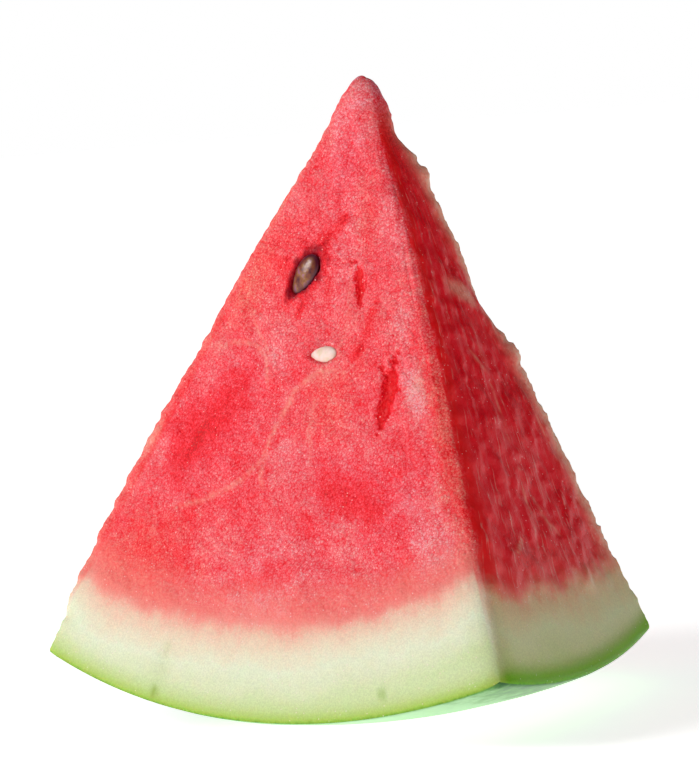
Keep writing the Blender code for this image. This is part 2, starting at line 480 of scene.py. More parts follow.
print("relief from", height.min().round(2), "to", height.max().round(2), "mm")

# %% [markdown]
# ## From a grid to a mesh
# A closed skin is a stack of rings with one point at each end. Neighbouring rings are joined
# by four-sided faces and the end points by a fan, in an order that turns every face outwards.

# %% Make a closed mesh from rings
def closed_mesh(name, rings, first, last):
    """Object with faces between neighbouring rings and a fan to each end point; sizes in mm."""
    rows, columns = rings.shape[:2]
    points = np.concatenate([rings.reshape(-1, 3), [first], [last]]) * MM
    here = np.arange(rows * columns).reshape(rows, columns)
    after = np.roll(here, -1, axis=1)
    quads = np.stack([here[:-1], here[1:], after[1:], after[:-1]], axis=-1).reshape(-1, 4)
    top = np.stack([np.full(columns, rows * columns), here[0], after[0]], axis=-1)
    bottom = np.stack([np.full(columns, rows * columns + 1), after[-1], here[-1]], axis=-1)
    mesh = bpy.data.meshes.new(name)
    mesh.from_pydata(points.tolist(), [], quads.tolist() + top.tolist() + bottom.tolist())
    mesh.shade_smooth()
    piece = bpy.data.objects.new(name, mesh)
    bpy.context.scene.collection.objects.link(piece)
    triangles = 2 * len(quads) + 2 * columns
    print(f"{name}: {len(points)} points, {triangles} triangles")
    return piece


def store(piece, name, values, ends=(0.0, 0.0)):
    """Keeps one number for each point of the grid on the mesh, where a material can read it."""
    layer = piece.data.attributes.new(name, "FLOAT", "POINT")
    layer.data.foreach_set("value", np.concatenate([values.ravel(), ends]).astype(np.float32))


wedge = closed_mesh("cut_wedge", surface, tip, np.zeros(3))
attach(wedge, "root")
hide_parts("wedge")

# %% [markdown]
# ## Where the flesh changes colour
# Some marks belong to one place, so they are kept on the surface as numbers from 0 to 1.
# `juice` is how wet and deep red the flesh is: in empty beds, round seeds, and where cells
# collapsed. `open` is flesh whose cells are all cut open, so it looks pale pink and gets more
# painted glints; along the front ridge it is also a painted sheen, where the bend catches the light.
# `torn_and_rim_light` is dry ragged tissue, almost white; along the front-left and back-right edges it is
# also a painted pale rim, where light grazes the rounded edge. `vein` is the pale orange line of a bundle
# that fed the seeds, and `bundle` the green end of one in the rind. `wine` is a dark wine-red ring
# round each ripe seed's socket, and `warm` runs from crimson to orange red. `streak` is 1 on the two
# side faces, which were cut along the fibres and stayed smooth. `glow` is a painted glow, the bright
# band beside the front ridge where light shines through the thin edge.
# `lift` is where the rind reaches higher, or lower where it is negative.

# %% Spots and strokes
def blotch(points, place, length, width):
    """A soft oval spot on a face, 1 in its middle and 0 outside, with a ragged edge."""
    x, y, z = np.moveaxis(local(points, place), -1, 0)
    reach = np.sqrt((x / length * 2.0) ** 2 + (y / width * 2.0) ** 2)
    reach = reach * (1.0 + 0.30 * noise(points, 3.0, seed=41) + 0.15 * noise(points, 1.3, seed=43))
    return np.where(np.abs(z) < 7.0, 1.0 - smooth_step(reach, 0.15, 1.05), 0.0)


def stroke(points, side, stops, width):
    """A line along a face through (across, down) stops: 1 on it, thinning towards its ends."""
    stops = np.array(stops)
    shares = np.linspace(0.0, len(stops) - 1.0, 40)
    across, down = (np.interp(shares, np.arange(len(stops)), column) for column in stops.T)
    path = face_points(SIDES.index(side) + across, down)
    wander = 0.35 * noise(points, 2.6, seed=42)[..., None]
    total = np.zeros(points.shape[:-1])
    for step, (start, end) in enumerate(zip(path[:-1], path[1:])):
        run = end - start
        share = np.clip((points + wander - start) @ run / (run @ run), 0.0, 1.0)
        gap = np.linalg.norm(points + wander - start - run * share[..., None], axis=-1)
        taper = 0.35 + 0.65 * np.sin(np.pi * (step + 0.5) / len(path))
        total = np.maximum(total, np.exp(-((gap / (width * taper)) ** 2)))
    return total * np.clip(0.8 + 0.55 * noise(points, 1.1, seed=46), 0.0, 1.0)


def marks(points, spots, strokes):
    """The strongest of the spots (side, across, down, turn, length, width, strength) and strokes."""
    drawn = [blotch(points, spot[:4], *spot[4:6]) * spot[6] for spot in spots]
    drawn += [stroke(points, *line[:3]) * line[3] for line in strokes]
    return np.max(drawn, axis=0)


# %% Deep red, pale pink and torn places
JUICY_SPOTS = (
    ("front", 0.20, 0.59, -22.0, 36.0, 15.0, 0.50),
    ("front", 0.18, 0.60, -12.0, 17.0, 5.0, 0.85),
    ("front", 0.38, 0.325, -24.0, 19.0, 13.0, 0.50),
    ("front", 0.23, 0.315, -35.0, 7.0, 4.0, 0.50),
    ("front", 0.24, 0.70, -20.0, 26.0, 15.0, 0.14),
    ("front", 0.70, 0.68, 55.0, 24.0, 11.0, 0.45),
    ("front", 0.685, 0.452, -28.0, 4.6, 2.6, 0.95),
    ("front", 0.40, 0.382, -20.0, 4.0, 1.8, 0.80),
    ("front", 0.47, 0.12, 0.0, 12.0, 5.0, 0.20),
    ("back", 0.30, 0.62, 0.0, 34.0, 20.0, 0.55),
    ("back", 0.74, 0.44, 20.0, 20.0, 11.0, 0.60),
    ("back", 0.36, 0.40, -10.0, 16.0, 11.0, 0.45),
    ("left", 0.46, 0.47, 14.0, 16.0, 11.0, 0.45),
    ("left", 0.35, 0.66, 0.0, 34.0, 18.0, 0.60),
)
JUICY_STROKES = (
    ("front", [(0.755, 0.375), (0.745, 0.40), (0.70, 0.44), (0.655, 0.465)], 1.5, 0.60),
    ("front", [(0.44, 0.285), (0.49, 0.265), (0.56, 0.235)], 1.5, 0.75),
    ("front", [(0.505, 0.325), (0.515, 0.36)], 0.9, 0.50),
    ("front", [(0.70, 0.655), (0.72, 0.665)], 0.8, 0.85),
    ("front", [(0.735, 0.68), (0.755, 0.692)], 0.8, 0.70),
)
# Pale open flesh; the spots at across near 0.9 lie along the front ridge and are also painted sheen, where
# the bend catches the light.
OPEN_AND_SHEEN_SPOTS = (
    ("front", 0.48, 0.14, 0.0, 20.0, 8.0, 0.55),
    ("front", 0.50, 0.05, 0.0, 14.0, 12.0, 0.50),
    ("front", 0.60, 0.25, 0.0, 30.0, 11.0, 0.60),
    ("front", 0.47, 0.84, 0.0, 15.0, 26.0, 0.60),
    ("front", 0.47, 0.755, -70.0, 20.0, 11.0, 0.55),
    ("front", 0.88, 0.27, 0.0, 22.0, 7.0, 0.55),
    ("front", 0.885, 0.54, 5.0, 17.0, 7.0, 1.00),
    ("front", 0.87, 0.42, 0.0, 16.0, 6.0, 0.50),
    ("front", 0.48, 0.62, 0.0, 20.0, 8.0, 0.35),
    ("front", 0.90, 0.76, 10.0, 24.0, 14.0, 0.60),
    ("front", 0.33, 0.44, -10.0, 16.0, 9.0, 0.35),
    ("back", 0.50, 0.20, 0.0, 24.0, 9.0, 0.50),
    ("back", 0.84, 0.70, 0.0, 24.0, 14.0, 0.60),
    ("left", 0.62, 0.30, 0.0, 18.0, 7.0, 0.50),
)
OPEN_STROKES = (
    ("front", [(0.30, 0.81), (0.44, 0.775), (0.58, 0.74), (0.66, 0.72)], 1.5, 0.45),
    ("front", [(0.42, 0.835), (0.58, 0.785), (0.76, 0.73), (0.86, 0.68)], 1.8, 0.40),
    ("front", [(0.20, 0.82), (0.33, 0.84), (0.48, 0.84)], 1.0, 0.30),
)
TORN_SPOTS = (
    ("right", 0.62, 0.385, 74.0, 15.0, 6.0, 0.60),
    ("right", 0.64, 0.862, 0.0, 7.0, 5.5, 0.75),
    ("right", 0.80, 0.20, 0.0, 16.0, 4.0, 0.45),
    ("front", 0.015, 0.63, 0.0, 12.0, 4.0, 0.45),
    ("back", 0.52, 0.48, 60.0, 14.0, 4.0, 0.35),
)
TORN_STROKES = (
    ("right", [(0.40, 0.47), (0.45, 0.495), (0.52, 0.52)], 0.45, 0.65),
    ("right", [(0.54, 0.45), (0.52, 0.56), (0.50, 0.64)], 0.30, 0.55),
    ("right", [(0.86, 0.56), (0.87, 0.63), (0.89, 0.70)], 0.40, 0.60),
    ("right", [(0.50, 0.67), (0.48, 0.73), (0.47, 0.77)], 0.35, 0.60),
    ("right", [(0.25, 0.805), (0.30, 0.79), (0.35, 0.775)], 0.45, 0.70),
    ("right", [(0.55, 0.72), (0.59, 0.765), (0.66, 0.79)], 0.45, 0.70),
    ("right", [(0.60, 0.88), (0.585, 0.94), (0.585, 0.998)], 1.10, 0.50),
    ("left", [(0.40, 0.36), (0.44, 0.50), (0.43, 0.62)], 0.40, 0.50),
    ("left", [(0.62, 0.70), (0.70, 0.76)], 0.45, 0.60),
    ("back", [(0.20, 0.74), (0.30, 0.72), (0.38, 0.74)], 0.45, 0.45),
)
print(len(JUICY_SPOTS) + len(OPEN_AND_SHEEN_SPOTS) + len(TORN_SPOTS), "spots")

# %% Veins and warmth
VEINS = (
    ("front", [(0.19, 0.71), (0.21, 0.703), (0.27, 0.684), (0.356, 0.649), (0.405, 0.612)], 0.42, 0.8),
    ("front", [(0.395, 0.62), (0.43, 0.55), (0.464, 0.505), (0.535, 0.477), (0.63, 0.48)], 0.55, 0.8),
    ("front", [(0.41, 0.60), (0.415, 0.64), (0.43, 0.66)], 0.45, 0.6),
    ("front", [(0.06, 0.47), (0.15, 0.448), (0.256, 0.441), (0.31, 0.455), (0.36, 0.50)], 0.50, 0.6),
    ("front", [(0.17, 0.39), (0.22, 0.415), (0.294, 0.437), (0.33, 0.455)], 0.32, 0.7),
    ("front", [(0.531, 0.52), (0.54, 0.57), (0.556, 0.63)], 0.35, 0.5),
    ("front", [(0.62, 0.30), (0.63, 0.39), (0.60, 0.46)], 0.40, 0.35),
    ("back", [(0.16, 0.50), (0.30, 0.47), (0.44, 0.50), (0.55, 0.58)], 0.45, 0.8),
    ("back", [(0.55, 0.70), (0.66, 0.66), (0.80, 0.68)], 0.40, 0.7),
    ("left", [(0.25, 0.55), (0.45, 0.53), (0.66, 0.57)], 0.40, 0.7),
)
WARM_SPOTS = (
    ("front", 0.14, 0.82, 0.0, 34.0, 40.0, 0.9),
    ("front", 0.10, 0.34, 0.0, 34.0, 14.0, 0.7),
    ("front", 0.60, 0.52, 0.0, 26.0, 18.0, 0.5),
    ("front", 0.70, 0.24, 0.0, 24.0, 8.0, 0.5),
    # this long spot on the ridge is a painted orange glow of light through the thin edge
    ("front", 0.97, 0.62, 0.0, 90.0, 11.0, 0.9),
    ("back", 0.80, 0.80, 0.0, 30.0, 34.0, 0.8),
)
CRIMSON_SPOTS = (
    ("front", 0.21, 0.58, -22.0, 42.0, 20.0, 1.0),
    ("front", 0.72, 0.67, 60.0, 40.0, 18.0, 0.7),
    ("front", 0.48, 0.13, 0.0, 26.0, 12.0, 0.6),
    ("front", 0.38, 0.32, -24.0, 14.0, 10.0, 0.6),
    ("back", 0.30, 0.60, 0.0, 40.0, 24.0, 0.9),
)
side_of = np.floor(AROUND).astype(int)
across_of = AROUND - side_of
on_sides = np.isin(side_of, (1, 3))[None, :] & is_face
ridge_at = AROUND[gaps[1].argmin(axis=1)]  # the worn ridge's nearest column to its old edge
on_sides[:FACE_ROWS] &= AROUND[None, :] >= ridge_at[:, None]
core = smooth_step(across_of, 0.08, 0.26) * (1.0 - smooth_step(across_of, 0.80, 1.0))
core = core * (0.85 + 0.15 * noise(base, 6.0, seed=44))
juice = marks(base, JUICY_SPOTS, JUICY_STROKES)
inside_edge = np.ones(base.shape[:2])
past_ridge = gaps[1] - gaps[1].min(axis=1, keepdims=True) + 0.3 * noise(base[:FACE_ROWS], 1.6, seed=47)
band = (0.4 + 1.2 * DOWN)[:, None]
inside_edge[:FACE_ROWS] = smooth_step(gaps[0], 1.0, 6.0) * smooth_step(past_ridge / band, -0.5, 0.5)
inside_edge = inside_edge * smooth_step(from_tip, 3.0, 14.0)
juice = np.maximum(juice, np.where(on_sides, (0.60 + 0.14 * core) * inside_edge, 0.0))
juice = np.maximum(juice, 1.0 - smooth_step(bed_reach, 0.80, 1.05))
juice = np.maximum(juice, 0.8 * (1.0 - smooth_step(ripe_reach, 1.1, 1.9)))
opened = marks(base, OPEN_AND_SHEEN_SPOTS, OPEN_STROKES)
torn_and_rim_light = marks(base, TORN_SPOTS, TORN_STROKES)
# Painted rim light: a pale band along the back-right and front-left edges, where light grazes the rounded
# edge; it is kept with the torn tissue.
painted_rim_light = 1.2 * np.exp(-((gaps[2] / 3.4) ** 2)) + 0.35 * np.exp(-((gaps[0] / 1.2) ** 2))
painted_rim_light = painted_rim_light * smooth_step(from_tip[:FACE_ROWS], 4.0, 14.0)
torn_and_rim_light[:FACE_ROWS] = np.maximum(torn_and_rim_light[:FACE_ROWS], painted_rim_light)
vein = marks(base, (), VEINS)
warm = 0.5 + 0.5 * marks(base, WARM_SPOTS, ()) - 0.5 * marks(base, CRIMSON_SPOTS, ())
warm = np.where(on_sides, 0.75 - 0.75 * core, warm)
wine = 1.0 - smooth_step(ripe_reach + 0.30 * noise(base, 1.1, seed=45), 1.0, 1.6)
bundle = marks(
    base,
    (("front", 0.282, 0.984, 0.0, 4.2, 3.0, 0.9), ("front", 0.752, 0.967, 10.0, 3.0, 2.0, 0.6)),
    (
        ("front", [(0.285, 0.91), (0.282, 0.97)], 2.2, 0.22),
        ("back", [(0.40, 0.93), (0.41, 0.98)], 1.6, 0.40),
    ),
)
streak = 0.12 + 0.88 * np.where(on_sides, inside_edge, 0.0) * smooth_step(from_tip, 6.0, 26.0)
# Painted glow: a bright red band beside the ridge, where light shines through the thin edge.
glow = np.zeros(base.shape[:2])
glow[:FACE_ROWS] = np.exp(-((past_ridge / (1.6 * band)) ** 2))
glow = np.where(on_sides, glow * inside_edge, 0.0)
lift = np.zeros(base.shape[:2])
lift[:FACE_ROWS] = np.exp(-((gaps[0] / 6.0) ** 2)) + np.exp(-((gaps[1] / 7.0) ** 2))
lift = np.where(is_front, lift, 0.0)
lowered = -0.9 * np.exp(-(((gaps[1] - 9.0) / 7.0) ** 2))
lift[:FACE_ROWS] = np.where(on_sides[:FACE_ROWS], lowered, lift[:FACE_ROWS])
MARKS = {"juice": juice, "open": opened, "torn_and_rim_light": torn_and_rim_light, "vein": vein, "warm": warm, "wine": wine}
MARKS |= {"bundle": bundle, "streak": streak, "glow": glow, "lift": lift}
for name, values in MARKS.items():
    store(wedge, name, np.where(is_face, values, 0.0))
print("share of the faces that is juicy:", (juice[is_face] > 0.4).mean().round(3))

# %% [markdown]
# ## Colours and nodes
# Colours are written as the hex values that a screen shows, and turned to the linear numbers
# that light adds up in. One function adds a node, sets what it is given and links the rest.

# %% Helpers for materials
def linear(hex_colour):
    """Linear RGBA of an sRGB hex colour, by the sRGB curve."""
    shown = [int(hex_colour[start : start + 2], 16) / 255.0 for start in (1, 3, 5)]
    made = [value / 12.92 if value <= 0.04045 else ((value + 0.055) / 1.055) ** 2.4 for value in shown]
    return (*made, 1.0)


def set_inputs(tree, node, inputs):
    """Links each input to its socket, or gives it its value; a hex colour is made linear."""
    for name, value in inputs.items():
        if isinstance(value, bpy.types.NodeSocket):
            tree.links.new(value, node.inputs[name])
        else:
            node.inputs[name].default_value = linear(value) if isinstance(value, str) else value


def add_node(tree, kind, inputs=None, output=0, stops=None, **settings):
    """Adds a node with its settings and inputs (values or sockets), and returns one output."""
    node = tree.nodes.new("ShaderNode" + kind)
    for name, value in settings.items():
        setattr(node, name, value)
    set_inputs(tree, node, inputs or {})
    if stops:
        ramp = node.color_ramp
        while len(ramp.elements) < len(stops):
            ramp.elements.new(1.0)
        for element, (position, colour) in zip(ramp.elements, stops):
            element.position, element.color = position, linear(colour)
    return node.outputs[output]


def new_material(name):
    """A material with a Principled shader, and a function that adds nodes to its tree."""
    material = bpy.data.materials.new(name)
    material.use_nodes = True
    tree = material.node_tree

    def finish(inputs):
        """Sets or links the shader's own inputs."""
        set_inputs(tree, tree.nodes["Principled BSDF"], inputs)
        return material

    return functools.partial(add_node, tree), finish


# %% [markdown]
# ## Cut watermelon
# The knife opens millions of thin-walled, juice-filled cells. Whole ones look deep red and
# clear, opened ones scatter light and look pink, and the tiny facets between them glint. The
# cells are 0.3 to 0.7 mm across. Towards the skin the red gives way to cream, then pale
# green, and a thin dark line where the skin itself is cut. Light soaks some millimetres into
# the flesh, red the farthest, so the edges glow.

# %% Shared coordinates
def fruit_space(add):
    """The object's own coordinates in mm."""
    place = add("TexCoord", output="Object")
    return add("VectorMath", {0: place, "Scale": 1.0 / MM}, operation="SCALE")


def depth_in_fruit(add, in_mm):
    """How deep below the melon's skin each point is, in mm."""
    offset = add("VectorMath", {0: in_mm, 1: MELON_CENTRE}, operation="SUBTRACT")
    length = add("VectorMath", {0: offset}, "Value", operation="LENGTH")
    return add("Math", {0: MELON_RADIUS, 1: length}, operation="SUBTRACT")


def fibre_space(add, in_mm):
    """The stretched space in which the fibres lie straight, as in the relief."""
    ray = add("VectorMath", {0: in_mm, 1: APEX}, operation="SUBTRACT")
    length = add("VectorMath", {0: ray}, "Value", operation="LENGTH")
    heading = add("VectorMath", {0: ray}, operation="NORMALIZE")
    shortened = add("Math", {0: length, 1: 16.0}, operation="DIVIDE")
    return add("VectorMath", {0: heading, 1: (70.0,) * 3, 2: shortened}, operation="MULTIPLY_ADD")


def weighted_sum(add, start, terms):
    """start + the sum of each value times its weight: a chain of multiply-add nodes."""
    for value, weight in terms:
        start = add("Math", {0: value, 1: weight, 2: start}, operation="MULTIPLY_ADD")
    return start


def soft_range(add, value, start, end):
    """0 up to start, 1 from end on, and a smooth step between them, in either direction."""
    limits = {"Value": value, "From Min": start, "From Max": end}
    return add("MapRange", limits, interpolation_type="SMOOTHSTEP")


BACK_SLOPE = 0.085  # how much sooner the red starts for each mm towards the back
FRONT_RIM = 33.0  # how far the front rim lies before the melon's axis


def rind_level(add, in_mm, depth, grain, fibres, lift):
    """Depth below the skin as the red sees it: it starts deeper to the right and near the edges."""
    uneven = ((grain["cloud"], 5.0), (grain["cluster"], 3.0), (grain["granule"], 2.2), (fibres, 1.4))
    sideways = add("SeparateXYZ", {0: in_mm}, "X")
    backwards = add("SeparateXYZ", {0: in_mm}, "Y")
    slopes = ((depth, 1.0), (sideways, -0.045), (backwards, BACK_SLOPE), (lift, -2.6))
    start = BACK_SLOPE * FRONT_RIM - 1.1 - sum(weight for _, weight in uneven) / 2.0
    return weighted_sum(add, start, slopes + uneven)


# %% Rind colours
RIND_SPAN = 24.0  # the stops are shares of this depth below the skin
RIM_SPAN = 6.0  # the same for the rim's stops
RIND_STOPS = [(0.10, "#dcebb6"), (0.22, "#e7eec9"), (0.36, "#eff3d8"), (0.50, "#f4e5cb")]
RIND_STOPS += [(0.61, "#f6cfb8"), (0.69, "#f8b3a2"), (0.78, "#f79288"), (0.88, "#f27a76")]
EDGE_STOPS = [  # by depth as a share of the rim's span, green from the skin's own cells
    (0.0, "#3f7a1e"),
    (0.04, "#86b83e"),
    (0.13, "#b8d86a"),
    (0.36, "#d0e398"),
    (1.0, "#dfeabc"),
]
STRIPE_STOPS = [  # the same where a dark stripe of the skin is cut
    (0.0, "#3f8010"),
    (0.06, "#6cbc14"),
    (0.24, "#8ed03c"),
    (0.50, "#acd070"),
    (1.0, "#d2dfac"),
]

# %% Flesh colours
FLESH_STOPS = [  # by how many cells are cut open
    (0.0, "#da0018"),
    (0.14, "#f6041c"),
    (0.32, "#fb2432"),
    (0.58, "#fc5661"),
    (0.84, "#fe8288"),
    (1.0, "#ffa6ac"),
]


def cut_melon():
    """Wet cut flesh and rind, coloured by depth below the skin, by cells, and by stored marks."""
    add, finish = new_material("wet_cut_watermelon")
    in_mm = fruit_space(add)
    depth = depth_in_fruit(add, in_mm)
    mark = {name: add("Attribute", None, "Fac", attribute_name=name) for name in MARKS}
    grain = {
        name: add("TexNoise", {"Vector": in_mm, "Scale": 1.0 / size, "Detail": detail, "Roughness": 0.6})
        for name, size, detail in (
            ("fuzz", 0.30, 2.0),
            ("granule", 0.70, 2.0),
            ("cluster", 3.4, 3.0),
            ("cloud", 13.0, 2.0),
        )
    }
    shaken = add("VectorMath", {0: grain["fuzz"], 1: (0.5,) * 3, 2: in_mm}, operation="MULTIPLY_ADD")
    cells = {"Vector": shaken, "Scale": 1.0 / 0.62}
    dome = add("TexVoronoi", cells, "Distance")
    wall = add("TexVoronoi", cells, "Distance", feature="DISTANCE_TO_EDGE")
    wall = add("MapRange", {"Value": wall, "From Max": 0.16, "To Min": 1.0, "To Max": 0.0})
    fibres = add(
        "TexNoise",
        {"Vector": fibre_space(add, in_mm), "Scale": 1.0 / 0.55, "Detail": 2.0, "Roughness": 0.6},
    )

    # Flesh: deep red between whole cells, pink where they are cut open.
    grainy = weighted_sum(add, 1.0, [(mark["streak"], -0.75)])
    speckle = weighted_sum(add, -0.90, [(grain["fuzz"], 1.10), (wall, -0.34), (grain["granule"], 0.80)])
    terms = [
        (add("Math", {0: speckle, 1: grainy}, operation="MULTIPLY"), 1.0),
        (grain["cluster"], 0.60),
        (grain["cloud"], 0.50),
        (mark["juice"], -0.62),
        (mark["open"], 0.34),
    ]
    pink = weighted_sum(add, 0.63 - 0.5 * (0.60 + 0.50), terms)
    flesh = add("ValToRGB", {0: pink}, stops=FLESH_STOPS)
    warmth = weighted_sum(add, -0.60, [(mark["warm"], 1.0), (grain["cloud"], 0.6), (grain["granule"], 0.6)])
    tint = add("ValToRGB", {0: warmth}, stops=[(0.0, "#fff0ff"), (0.5, "#ffffff"), (1.0, "#ffffdc")])
    flesh = add("Mix", {0: 1.0, 6: flesh, 7: tint}, 2, data_type="RGBA", blend_type="MULTIPLY")
    scratch = soft_range(add, fibres, 0.60, 0.68)
    scratch = add("Math", {0: scratch, 1: mark["streak"]}, operation="MULTIPLY")
    level = rind_level(add, in_mm, depth, grain, fibres, mark["lift"])
    patchy = weighted_sum(add, 0.15, [(grain["granule"], 1.7)])
    near_rind = add("Math", {0: soft_range(add, level, 27.0, 19.5), 1: grainy}, operation="MULTIPLY")
    layers = (  # each lies over the ones before it, as strongly as its mark says
        (near_rind, 0.62, "#fa8a7e"),
        (mark["vein"], 0.90, "#ffa090"),
        (soft_range(add, mark["juice"], 0.78, 1.0), 0.95, "#ec0010"),
        # painted glow of light through the ridge
        (mark["glow"], 0.90, "#ff1a1c"),
        (scratch, 0.50, "#f09a90"),
        (mark["wine"], 0.95, "#9c0c20"),
        # torn tissue, and the painted pale rim along two edges
        (mark["torn_and_rim_light"], 0.85, "#fbc0a6"),
    )
    for amount, strength, colour in layers:
        ragged = add("Math", {0: amount, 1: strength}, operation="MULTIPLY")
        ragged = add("Math", {0: ragged, 1: patchy}, operation="MULTIPLY")
        flesh = add("Mix", {0: ragged, 6: flesh, 7: colour}, 2, data_type="RGBA")

    # The rind, greenest in the last few millimetres before the skin.
    share = add("Math", {0: level, 1: RIND_SPAN}, operation="DIVIDE")
    rind = add("ValToRGB", {0: share}, stops=RIND_STOPS)
    rim_level = weighted_sum(add, -0.3, [(depth, 1.0), (grain["granule"], 0.6)])
    rim_share = add("Math", {0: rim_level, 1: RIM_SPAN}, operation="DIVIDE")
    rim = add("ValToRGB", {0: rim_share}, stops=EDGE_STOPS)
    stripe = add("ValToRGB", {0: rim_share}, stops=STRIPE_STOPS)
    rim = add("Mix", {0: mark["streak"], 6: rim, 7: stripe}, 2, data_type="RGBA")
    rind = add("Mix", {0: soft_range(add, rim_level, 1.5, 5.5), 6: rim, 7: rind}, 2, data_type="RGBA")
    rind = add("Mix", {0: mark["bundle"], 6: rind, 7: "#9cbc4e"}, 2, data_type="RGBA")
    # On the side faces the rind is multiplied towards olive: partly its own greyer colour, partly painted
    # shade.
    olive_and_shade = {0: mark["streak"], 6: rind, 7: "#f7f4d6"}
    rind = add("Mix", olive_and_shade, 2, data_type="RGBA", blend_type="MULTIPLY")
    pith = add("MapRange", {"Value": grain["fuzz"], "From Min": 0.35, "From Max": 0.65, "To Min": 0.86})
    rind = add("Mix", {0: 1.0, 6: rind, 7: pith}, 2, data_type="RGBA", blend_type="MULTIPLY")
    ripe = soft_range(add, level, 14.8, 21.0)
    colour = add("Mix", {0: ripe, 6: rind, 7: flesh}, 2, data_type="RGBA")

    # Painted glints: a few cells get a near-white spot for a wet facet's highlight, more where flesh is
    # open.
    glint_cells = {"Vector": in_mm, "Scale": 1.0 / 0.58}
    chance = add("SeparateColor", {0: add("TexVoronoi", glint_cells, "Color")})
    limit = weighted_sum(add, 1.00, [(mark["open"], -0.20), (grain["cluster"], -0.20)])
    lucky = add("Math", {0: chance, 1: limit}, operation="GREATER_THAN")
    nearness = add("TexVoronoi", glint_cells, "Distance")
    small = add("MapRange", {"Value": nearness, "From Min": 0.27, "From Max": 0.12})
    painted_glint = add("Math", {0: lucky, 1: small}, operation="MULTIPLY")
    painted_glint = add("Math", {0: painted_glint, 1: 0.55}, operation="MULTIPLY")
    colour = add("Mix", {0: painted_glint, 6: colour, 7: "#ffe9e6"}, 2, data_type="RGBA")

    # Bump: each cell a tiny wet dome on the flesh, and much calmer on the rind.
    relief = weighted_sum(add, 0.0, [(dome, -0.8), (grain["granule"], 1.2)])
    relief = add("Math", {0: relief, 1: grainy}, operation="MULTIPLY")
    relief = weighted_sum(add, 0.0, [(relief, 1.0), (fibres, 0.3)])
    relief = add("Math", {0: relief, 1: weighted_sum(add, 0.18, [(ripe, 0.82)])}, operation="MULTIPLY")
    bump = add("Bump", {"Strength": 0.7, "Distance": 0.0003, "Height": relief})
    rough = weighted_sum(add, 0.30, [(grain["fuzz"], 0.30), (mark["juice"], -0.14), (mark["torn_and_rim_light"], 0.2)])

    # Water-filled tissue: the index of refraction is a little above water's.
    return finish(
        {
            "Base Color": colour,
            "Roughness": rough,
            "Normal": bump,
            "IOR": 1.36,
            "Specular IOR Level": 0.25,
            "Subsurface Weight": 0.42,
            "Subsurface Radius": (1.0, 0.20, 0.14),
            "Subsurface Scale": 4.5 * MM,
        }
    )


# %% [markdown]
# ## Watermelon skin
# The skin is smooth, waxy and semi-gloss: pale mint green with dark bands that run from
# stalk to blossom end, here from front to back. Each band's edge is marbled, because the dark
# green follows a net of small branches.

# %% Material of the skin
STRIPE_SPACING = 110.0
STRIPE_START = 43.0
MARBLING = 24.0  # how far the net of branches shifts a band's edge


def melon_skin():
    """Waxy skin with marbled dark bands across the wedge."""
    add, finish = new_material("waxy_striped_melon_skin")
    in_mm = fruit_space(add)
    marbling = add("TexNoise", {"Vector": in_mm, "Scale": 1.0 / 9.0, "Detail": 5.0, "Roughness": 0.65})
    fine = add("TexNoise", {"Vector": in_mm, "Scale": 1.0 / 1.8, "Detail": 4.0, "Roughness": 0.6})
    across = add("SeparateXYZ", {0: in_mm}, "X")
    wavy = weighted_sum(add, STRIPE_START - MARBLING / 2.0, [(across, 1.0), (marbling, MARBLING)])
    turn = add("Math", {0: wavy, 1: 2.0 * math.pi / STRIPE_SPACING}, operation="MULTIPLY")
    wave = add("Math", {0: turn}, operation="COSINE")
    dark = weighted_sum(add, 0.5 - 0.22, [(wave, 0.5), (fine, 0.45)])
    stops = [(0.0, "#a6d09e"), (0.5, "#94c28a"), (0.66, "#5b9a3f"), (0.8, "#2c6a26"), (1.0, "#205420")]
    colour = add("ValToRGB", {0: dark}, stops=stops)
    return finish(
        {
            "Base Color": colour,
            "Normal": add("Bump", {"Strength": 0.15, "Distance": 0.0002, "Height": fine}),
            "Roughness": 0.33,
            "IOR": 1.45,
            "Subsurface Weight": 0.12,
            "Subsurface Radius": (0.6, 1.0, 0.4),
            "Subsurface Scale": 2.0 * MM,
        }
    )


wedge.data.materials.append(cut_melon())
wedge.data.materials.append(melon_skin())
columns = base.shape[1]
slots = np.zeros(len(wedge.data.polygons), np.int32)
slots[(FACE_ROWS - 1) * columns : (base.shape[0] - 1) * columns] = 1
slots[-columns:] = 1
wedge.data.polygons.foreach_set("material_index", slots)
print("faces of the skin:", int(slots.sum()))

# %% [markdown]
# ## Seeds
# A watermelon seed is a flattened egg with a pointed end, where it hung from its bundle. Along
# its edge runs a low rounded margin, and near the point are two small shoulders. The ripe coat
# is hard, glossy and brown with a mauve bloom; the unripe one is soft, thin and cream.

# %% Seed form
SEED_ROWS = 44
SEED_COLUMNS = 56
SEED_POLAR = np.pi * (np.arange(1, SEED_ROWS + 1) / (SEED_ROWS + 1))[:, None]
SEED_TURN = -2.0 * np.pi * (np.arange(SEED_COLUMNS) / SEED_COLUMNS)[None, :]  # outward faces


